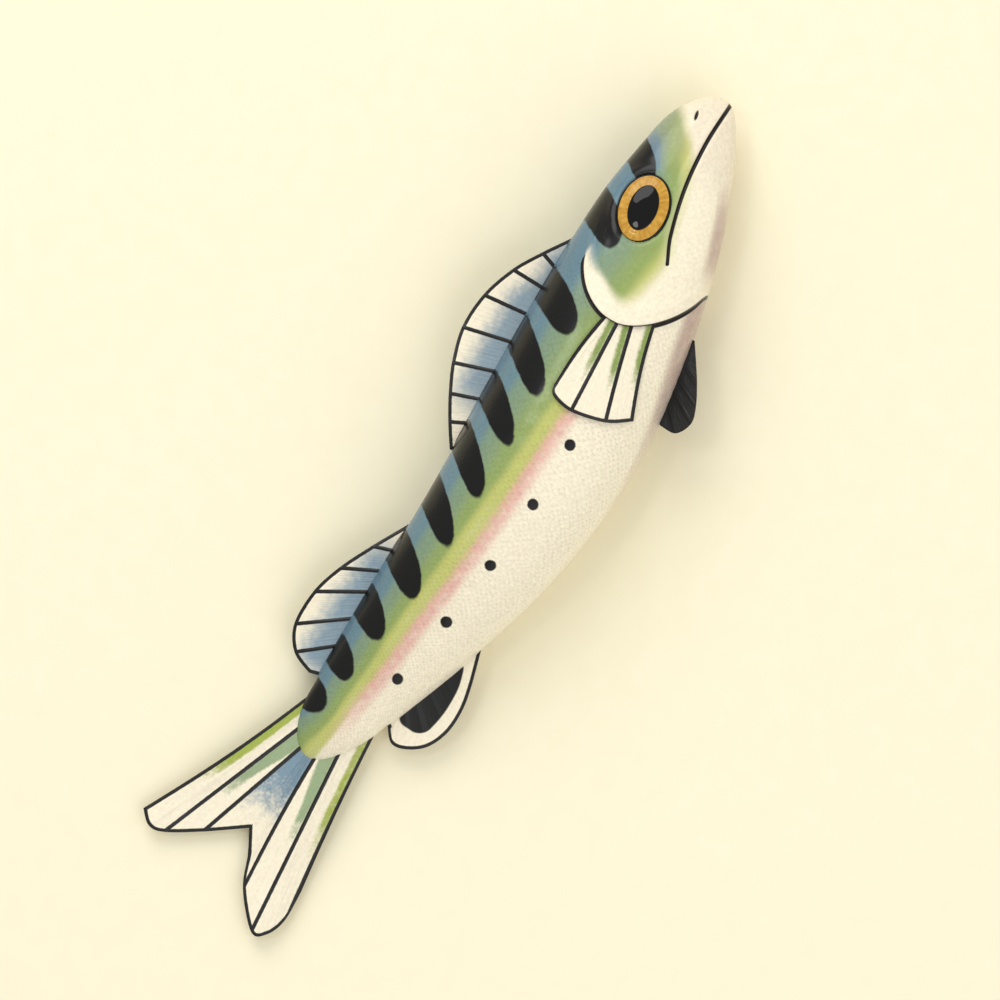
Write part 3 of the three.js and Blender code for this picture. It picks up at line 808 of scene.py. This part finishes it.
def skin_values(x, y, before_slit):
    """What the skin's material reads at each vertex."""
    cover = inside_gill_cover(x, y)
    from_pink = y - pink_line(x)
    # The mouth line, the gill slit and the nostril are darkened as painted shade in their grooves.
    mouth = np.hypot(y - mouth_line(x), np.maximum(MOUTH_CORNER_X - x, 0))
    slit = np.abs(before_slit + 0.4) + 2 * np.maximum(y - 11.2, 0)
    return {
        "ladder": colour_ladder(x, y),
        "pink": plateau(from_pink, *PINK_BAND) * plateau(x, *PINK_X),
        "cream": cream_share(x, y, before_slit),
        "painted_shade": painted_shade_share(x, y, before_slit),
        "bars": bar_distance(x, y),
        "spots": np.min([np.hypot(x - sx, y - sy) for sx, sy in SPOTS], 0) - SPOT_RADIUS,
        "crease_shade": np.min((mouth, slit, nostril_reach(x, y, 1.25, 0.42) * 0.5), 0),
        "scaly": step(cover, 1, -2) * step(x, 95, 85) + step(x, 112, 96) * (x > GILL_X) * step(y, 12, 15),
    }


def scale_rows(x, turn):
    """Coordinates along and around the body in which every scale is one size."""
    stations = np.linspace(FLESH_END_X, SNOUT_X, 400)
    _, half_depth, half_thick = section(np.clip(stations, FLESH_END_X + TAIL_ROUND, SNOUT_X - SNOUT_ROUND))
    radius = (half_depth + half_thick) / 2
    scale_size = np.maximum(radius, LEAST_SCALE_RADIUS)
    along = np.cumsum(1 / scale_size) * (stations[1] - stations[0])
    around = turn * np.interp(x, stations, radius / scale_size)
    return np.stack((np.interp(x, stations, along), around, 0 * x), 1)


def make_body():
    bm = bmesh.new()
    rows = HEAD_ROWS + LIP_ROWS + TRUNK_ROWS
    bmesh.ops.create_uvsphere(bm, u_segments=BODY_COLUMNS, v_segments=rows, radius=1)
    mesh = mesh_from(bm, "body_skin")
    ball = read_points(mesh)
    row = np.rint(np.arccos(np.clip(ball[:, 2], -1, 1)) / math.pi * rows)
    points, bent = body_form(row, np.arctan2(ball[:, 1], ball[:, 0]))
    write_points(mesh, points)
    x, y, z = points.T
    off_ridge = np.clip(np.abs(z - middle_height(x)) / RELIEF_FADE, 0, 1)
    lift = relief(x, y) * off_ridge + fin_roots(x, y, z)
    points = points + read_normals(mesh) * (lift * end_rounding(x))[:, None]
    points[:, 2] = on_ground(points[:, 2])
    write_points(mesh, points)
    keep_values(mesh, **skin_values(x, y, slit_distance(x, bent)))
    keep_vector(mesh, "along_skin", scale_rows(x, bent))
    finish_piece(mesh, skin_material(), "fish")


def on_ground(z):
    """Flesh that would go below the ground is pressed flat, with a soft edge, and just clears the ground."""
    soft = GROUND_SOFTNESS
    return np.where(z > 2 * soft, z, soft * np.log1p(np.exp(np.clip(z / soft, -40, 40))) * 0.98 + 0.02)


# ---- Fins ----


def through(points, place, corner=-1):
    """A smooth curve through points, sharp at one of them, at places counted in points."""
    points = np.array(points, float)
    last = len(points) - 1
    i = np.clip(place.astype(int), 0, last - 1)
    t = (place - i)[:, None]
    p1, p2 = points[i], points[i + 1]
    v1 = (p2 - points[np.where((i == 0) | (i == corner), i, i - 1)]) / 2
    v2 = (points[np.where((i + 1 == last) | (i + 1 == corner), i + 1, i + 2)] - p1) / 2
    return (2 * p1 - 2 * p2 + v1 + v2) * t**3 + (-3 * p1 + 3 * p2 - 2 * v1 - v2) * t**2 + v1 * t + p1


def rooted(line, inward, rays):
    """Carries the straight rays of a back or belly fin on, past that line, to a root in the flesh."""
    whole = []
    for i, (x, tip_x, tip_y) in enumerate(rays):
        body_y = float(line(np.array(x)))
        lean = 0 if i in (0, len(rays) - 1) else (x - tip_x) / abs(body_y - tip_y)
        whole.append((x + lean * ROOT_DEPTH, body_y + inward * ROOT_DEPTH, tip_x, tip_y, 0))
    return whole


def curve_and_run(points, place, corner):
    """Points on a smooth curve through points, and how fast they move as the place grows."""
    last = len(points) - 1
    low = np.clip(place - 0.01, 0, last)
    high = np.clip(place + 0.01, 0, last)
    moved = through(points, high, corner) - through(points, low, corner)
    return through(points, place, corner), moved / (high - low)[:, None]


def blade_grid(name, panels):
    """A closed flat blade, with the face, the place along the rays and the panel of each of its vertices."""
    bm = bmesh.new()
    bmesh.ops.create_grid(bm, x_segments=panels * PANEL_COLUMNS, y_segments=BLADE_ROWS, size=0.5)
    bmesh.ops.solidify(bm, geom=bm.faces[:], thickness=1.0)
    mesh = mesh_from(bm, name)
    grid = read_points(mesh)
    side = np.where(grid[:, 2] > grid[:, 2].mean(), 1, -1)
    # Rows crowd at the rim and columns at the rays.
    v = np.clip(grid[:, 1] + 0.5, 0, 1)
    v = v + 0.10 * np.sin(math.pi * v) * v
    panel = np.clip(grid[:, 0] + 0.5, 0, 1) * panels
    panel = panel - 0.6 * np.sin(2 * math.pi * panel) / (2 * math.pi)
    return mesh, side, v, panel


def fan_fin(name, rays, lay, material, *, bold=None, thick=(1.6, 0.45), ridge=0.28, corner=-1, values=None):
    """A thin closed blade over a fan of rays.

    lay(x, y, v, side, half, sag) gives z, with v from 0 at the root to 1 at the rim, side 1 or -1 for the
    face, half the blade's half thickness and sag how far the membrane hangs between its rays. bold lists
    which rays are dark, thick gives the thickness at the root and at the rim, ridge how far a dark ray
    stands out, and the rim turns sharply at the corner ray. values(x, y, v) adds what the material reads.
    """
    panels = len(rays) - 1
    bold = np.ones(panels + 1, bool) if bold is None else np.isin(np.arange(panels + 1), bold)
    mesh, side, v, panel = blade_grid(name, panels)
    rays = np.array(rays, float)
    root, root_run = curve_and_run(rays[:, :2], panel, corner)
    tip, tip_run = curve_and_run(rays[:, 2:4], panel, corner)
    tip = root + (tip - root) * RIM_REACH
    length = np.hypot(*(tip - root).T)
    along_ray = (tip - root) / length[:, None]
    run = root_run + (tip_run - root_run) * v[:, None]
    width = np.abs(run[:, 0] * along_ray[:, 1] - run[:, 1] * along_ray[:, 0])
    across_rim = np.abs(tip_run[:, 0] * along_ray[:, 1] - tip_run[:, 1] * along_ray[:, 0])
    rim_slant = np.maximum(across_rim / np.hypot(*tip_run.T), LEAST_RIM_SLANT)
    nearest_ray = np.rint(panel)
    from_ray = np.abs(panel - nearest_ray) * width
    strong = bold[nearest_ray.astype(int)]
    x, y = (root + (tip - root) * v[:, None]).T
    y = y + np.interp(panel, np.arange(panels + 1), rays[:, 4]) * np.sin(math.pi * v)
    rise = ridge * np.where(strong, 1, PALE_RIDGE) * bell(from_ray, RAY_HALF_WIDTH) * (1 - 0.7 * v)
    half = (thick[0] + (thick[1] - thick[0]) * v**0.5) / 2 * np.sqrt(np.clip(1 - v**12, 0.02, 1)) + rise
    from_end = np.minimum(panel, panels - panel) * width / BLADE_END_ROUND
    half = half * np.sqrt(np.clip(1 - (1 - np.minimum(from_end, 1)) ** 2, 0.04, 1))
    sag = MEMBRANE_SAG * np.sin(math.pi * (panel % 1)) * np.sin(math.pi * v)
    z = on_ground(lay(x, y, v, side, half, sag))
    write_points(mesh, np.stack((x, y, z), 1))
    from_bold = [
        from_line(x, y, v, rays[i]) - EDGE_RAY_EXTRA * (i in (0, panels)) for i in np.flatnonzero(bold)
    ]
    keep_values(
        mesh,
        ray=np.min(from_bold, 0),
        rim=(1 - v) * length * rim_slant,
        fan=panel,
        **(values(x, y, v) if values else {}),
    )
    finish_piece(mesh, material, "fish")


def upright(x, y, v, side, half, sag):
    """The middle plane, with a slow wave towards the rim."""
    return middle_height(x) + FIN_WAVE * v * np.sin(x / FIN_WAVE_LENGTH) + side * half - sag


def on_flank(flank_side):
    """Along the flank from under the gill cover, with the tip just clear of the skin."""
    def lay(x, y, v, side, half, sag):
        lift = PECTORAL_ROOT_LIFT + PECTORAL_RISE * np.sqrt(v)
        return middle_height(x) + flank_side * (flank(x, y) + lift + side * (half - sag))
    return lay


def beside_belly(flank_side):
    """Beside the belly's middle line, turning outward with the distance from the body."""
    def lay(x, y, v, side, half, sag):
        out = np.clip((belly_line(x) - y) / PELVIC_SPLAY_DEPTH, 0, 1) ** 1.5
        return middle_height(x) + flank_side * (PELVIC_APART + PELVIC_SPLAY * out) + side * half - sag
    return lay


def beside(x, y, v, ray):
    """Distance in the side view from the line of a bowed ray, above 0 on the side of the back."""
    root_x, root_y, tip_x, tip_y, bow = ray
    run = np.array((tip_x - root_x, tip_y - root_y)) / math.hypot(tip_x - root_x, tip_y - root_y)
    return (x - root_x) * run[1] - (y - bow * np.sin(math.pi * v) - root_y) * run[0]


def from_line(x, y, v, ray):
    """Distance in the side view from a bowed ray that is drawn on a little past its tip."""
    root_x, root_y, tip_x, tip_y, _ = ray
    length = math.hypot(tip_x - root_x, tip_y - root_y)
    past_tip = ((x - tip_x) * (tip_x - root_x) + (y - tip_y) * (tip_y - root_y)) / length
    return np.hypot(beside(x, y, v, ray), np.maximum(past_tip - RAY_OVERRUN * length, 0))


def band(value, low, high, soft=0.8):
    """1 between low and high and 0 beyond them, with soft ends."""
    return plateau(value, low - soft, low + soft, high - soft, high + soft)


def tail_values(x, y, v):
    """Strips of colour: each starts beside a ray of its lobe and faces the next one."""
    fade = step(x, -126, -105)
    wedge = 1.6 * step(x, -112, -92)
    lime = 0
    sage = 0
    inner = 1
    for (edge, middle, inmost), up, strength in ((TAIL_LOWER, 1, 0.8), (TAIL_UPPER, -1, 1.0)):
        lime = lime + band(up * beside(x, y, v, TAIL[edge]), 0.5, 3.4) * strength
        sage = sage + band(up * beside(x, y, v, TAIL[middle]), 0.4, 3.2 + wedge)
        inner = inner * step(up * beside(x, y, v, TAIL[inmost]), -0.1, 0.1)
    blue = 0.6 * step(x, -124, -108) + 0.4 * step(x, -112, -92)
    return {"lime": lime * fade, "sage": sage * fade * (1 - inner), "blue": inner * blue}


def pectoral_values(x, y, v):
    """A green strip above each of the three lower rays."""
    strips = sum(band(beside(x, y, v, PECTORAL[ray]), 0.4, 2.7, 1.0) for ray in (0, 1, 2))
    return {"lime": strips * step(v, 0.85, 0.35), "sage": 0 * v, "blue": 0 * v}


def anal_values(x, y, v):
    """Distance to the outline of the dark patch, which lies along the belly."""
    above_lower_edge = y - patch_line(x)
    below_belly = 0.5 + belly_line(x) - y + PATCH_ROUND * step(x, -64, -60)
    inward = np.stack((np.minimum(above_lower_edge, below_belly), x - PATCH_REAR_X)) - PATCH_ROUND
    return {"patch": np.hypot(*np.minimum(inward, 0)) - PATCH_ROUND - np.clip(inward.min(0), 0, None)}


def first_dorsal_values(x, y, v):
    """Strength of the blue cloud, and the height above the back at which it is read."""
    up = y - back_line(x) + 5.5 * step(x, 60, 74)
    return {"blue": 0.92 * plateau(x, *FIRST_DORSAL_BLUE_X), "up": up}


def second_dorsal_values(x, y, v):
    """The same for the second dorsal fin."""
    up = y - back_line(x) - 0.6 + 2.4 * step(x, -48, -36)
    return {"blue": 0.95 * plateau(x, *SECOND_DORSAL_BLUE_X), "up": up}


def make_fins():
    dorsal = fin_material("dorsal_fin", dorsal_paint, Coat_Weight=0.25)
    strips = fin_material("striped_fin", strip_paint(LIME), Coat_Weight=0.25)
    green_strips = fin_material("green_striped_fin", strip_paint(PECTORAL_GREEN), Coat_Weight=0.25)
    patched = fin_material("patched_fin", patch_paint, Coat_Weight=0.25)
    dark = fin_material("dark_fin", lambda shader: BLACK, Coat_Weight=0.05)
    fan_fin("first_dorsal_fin", rooted(back_line, -1, FIRST_DORSAL), upright, dorsal,
            values=first_dorsal_values)
    fan_fin("second_dorsal_fin", rooted(back_line, -1, SECOND_DORSAL), upright, dorsal,
            values=second_dorsal_values)
    fan_fin("anal_fin", rooted(belly_line, 1, ANAL), upright, patched, bold=(0, 7), values=anal_values)
    fan_fin("tail_fin", TAIL, upright, strips, bold=TAIL_LOWER + TAIL_UPPER, thick=(2.2, 0.5),
            corner=TAIL_FORK, values=tail_values)
    for flank_side, word in ((1, "right"), (-1, "left")):
        fan_fin(f"pectoral_fin_{word}", PECTORAL, on_flank(flank_side), green_strips,
                bold=(0, 1, 2, 4), thick=(0.9, 0.45), ridge=0.2, values=pectoral_values)
        fan_fin(f"pelvic_fin_{word}", rooted(belly_line, 1, PELVIC), beside_belly(flank_side), dark,
                thick=(1.0, 0.4))


# ---- Eyes ----

# Rings of the eye from its centre out: half length, half height and height above the eye's rim.
EYE_RINGS = (
    (0.0, 0.0, 2.35), (3.2, 2.0, 2.3), (5.8, 3.6, 2.1), (7.1, 4.4, 1.9), (7.45, 4.65, 1.62),
    (7.8, 4.95, 1.5), (8.8, 5.9, 1.42), (9.8, 6.8, 1.2), (10.45, 7.4, 0.9), (11.0, 8.0, 0.7),
    (11.35, 8.4, 0.15), (11.2, 8.2, -0.8), (9.5, 7.0, -2.4), (5.5, 4.0, -3.6), (0.0, 0.0, -4.0),
)
# Zone of each ring: the pupil ends at 1 and the gold at 2.
EYE_ZONE = (0.0, 0.4, 0.75, 0.95, 1.0, 1.05, 1.3, 1.7, 1.97, 2.05, 2.2, 2.4, 2.6, 2.8, 3.0)
EYE_SPREAD = 6.4                 # the skin's slope is measured this far above and below the eye's centre
EYE_COLUMNS = 96
EYE_CLEARANCE = 0.05             # the lower eye stays this far off the ground
FIBRES_ROUND = 9                 # size of the noise of the iris, round the pupil and across its ring
FIBRES_ACROSS = 0.8


def eye_place(flank_side):
    """Stands the eye on the skin, along the skin's own normal."""
    places = ((0, 0), (0.5, 0), (-0.5, 0), (0, EYE_SPREAD), (0, -EYE_SPREAD))
    at_eye, ahead, behind, above, below = (
        float(flank(np.array(EYE_X + dx), np.array(EYE_Y + dy))) for dx, dy in places
    )
    normal = Vector((behind - ahead, (below - above) / (2 * EYE_SPREAD), flank_side)).normalized()
    centre = Vector((EYE_X, EYE_Y, float(middle_height(np.array(EYE_X))) + flank_side * at_eye))
    lean = Vector((0, 0, flank_side)).rotation_difference(normal)
    face = Euler((0 if flank_side > 0 else math.pi, 0, 0)).to_quaternion()
    turn = Quaternion((0, 0, 1), EYE_TILT)
    return Matrix.Translation(centre - normal * EYE_SINK) @ (lean @ turn @ face).to_matrix().to_4x4()


def make_eye(flank_side, word, material):
    """Spins a profile whose radius is the ring's number, then draws each ring out to its own oval."""
    bm = bmesh.new()
    profile = [bm.verts.new((i, 0, 0)) for i in range(len(EYE_RINGS))]
    edges = [bm.edges.new(pair) for pair in zip(profile, profile[1:])]
    bmesh.ops.subdivide_edges(bm, edges=edges, cuts=3)
    bmesh.ops.spin(bm, geom=bm.verts[:] + bm.edges[:], cent=(0, 0, 0), axis=(0, 0, 1), steps=EYE_COLUMNS,
                   angle=2 * math.pi, use_merge=True)
    bmesh.ops.remove_doubles(bm, verts=bm.verts, dist=1e-4)
    last = len(EYE_RINGS) - 1
    rim = [v for v in bm.verts if v.co.xy.length > last - 1e-3]
    bmesh.ops.pointmerge(bm, verts=rim, merge_co=(last, 0, 0))
    mesh = mesh_from(bm, f"eye_ball_{word}")
    flat = read_points(mesh)
    number = np.hypot(flat[:, 0], flat[:, 1]) / last
    turn = np.arctan2(flat[:, 1], flat[:, 0])
    rings = through(EYE_RINGS, np.clip(number, 0, 1) * last)
    points = np.stack((rings[:, 0] * np.cos(turn), rings[:, 1] * np.sin(turn), rings[:, 2]), 1)
    place = np.array(eye_place(flank_side))
    points = points @ place[:3, :3].T + place[:3, 3]
    points[:, 2] = np.maximum(points[:, 2], EYE_CLEARANCE)
    write_points(mesh, points)
    zones = np.interp(number * last, np.arange(last + 1), EYE_ZONE)
    keep_values(mesh, ring=zones)
    fibres = (np.cos(turn) * FIBRES_ROUND, np.sin(turn) * FIBRES_ROUND, zones * FIBRES_ACROSS)
    keep_vector(mesh, "fibres", np.stack(fibres, 1))
    finish_piece(mesh, material, f"eye_{word}")


# ---- Setting ----

FLOOR_HALF_WIDTH = 3.0           # metres, as is the drop below the fish
FLOOR_DROP = 0.0003


def make_floor():
    bm = bmesh.new()
    bmesh.ops.create_grid(bm, x_segments=1, y_segments=1, size=FLOOR_HALF_WIDTH)
    bmesh.ops.translate(bm, vec=(0, 0, -FLOOR_DROP), verts=bm.verts)
    mesh = mesh_from(bm, "floor")
    shader = Shader("pale_paper_floor", Roughness=0.9)
    grain = shader.noise(shader.place(), 120.0, 4.0)
    shader.set(shader.surface, {
        "Base Color": shader.mix(shader.between(grain, -1, 1), *PALE_FLOOR),
        "Specular IOR Level": 0.1,
    })
    mesh.materials.append(shader.material)
    floor = bpy.data.objects.new("floor", mesh)
    bpy.context.scene.collection.objects.link(floor)


SKY = (1.0, 0.99, 0.97, 1)
SKY_STRENGTH = 0.65
# Round lights that face the fish: place and width in metres, and power in watts.
LIGHTS = (
    ("key", (0.85, 0.95, 0.95), 1.1, 10.5), ("streak", (0.05, 0.55, 1.3), 0.28, 1.4),
    ("fill", (-0.3, -0.9, 1.1), 1.5, 5.5),
)


def make_lights():
    world = bpy.data.worlds.new("studio")
    world.use_nodes = True
    sky = world.node_tree.nodes["Background"].inputs
    sky["Color"].default_value = SKY
    sky["Strength"].default_value = SKY_STRENGTH
    bpy.context.scene.world = world
    for name, place, size, power in LIGHTS:
        data = bpy.data.lights.new(name, "AREA")
        data.shape = "DISK"
        data.size = size
        data.energy = power
        light = bpy.data.objects.new(name, data)
        light.location = place
        light.rotation_euler = (-Vector(place)).to_track_quat("-Z", "Y").to_euler()
        bpy.context.scene.collection.objects.link(light)


# The camera looks straight down; the head points to the upper right.
VIEW_WIDTH = 0.31355             # metres across the view at the fish's middle height
VIEW_CENTRE = (6.75, -9.56, 15)  # millimetres along the fish
VIEW_TURN = math.radians(-56)
LENS = 450
SENSOR = 36


def make_camera():
    data = bpy.data.cameras.new("camera")
    data.lens = LENS
    data.sensor_width = SENSOR
    camera = bpy.data.objects.new("camera", data)
    centre = in_frame(VIEW_CENTRE)
    camera.location = (centre[0], centre[1], centre[2] + VIEW_WIDTH * LENS / SENSOR)
    camera.rotation_euler = (0, 0, VIEW_TURN)
    bpy.context.scene.collection.objects.link(camera)
    bpy.context.scene.camera = camera


make_camera()
make_body()
make_fins()
eye = eye_material()
make_eye(1, "right", eye)
make_eye(-1, "left", eye)
make_floor()
make_lights()
bpy.context.scene.view_settings.view_transform = "Standard"
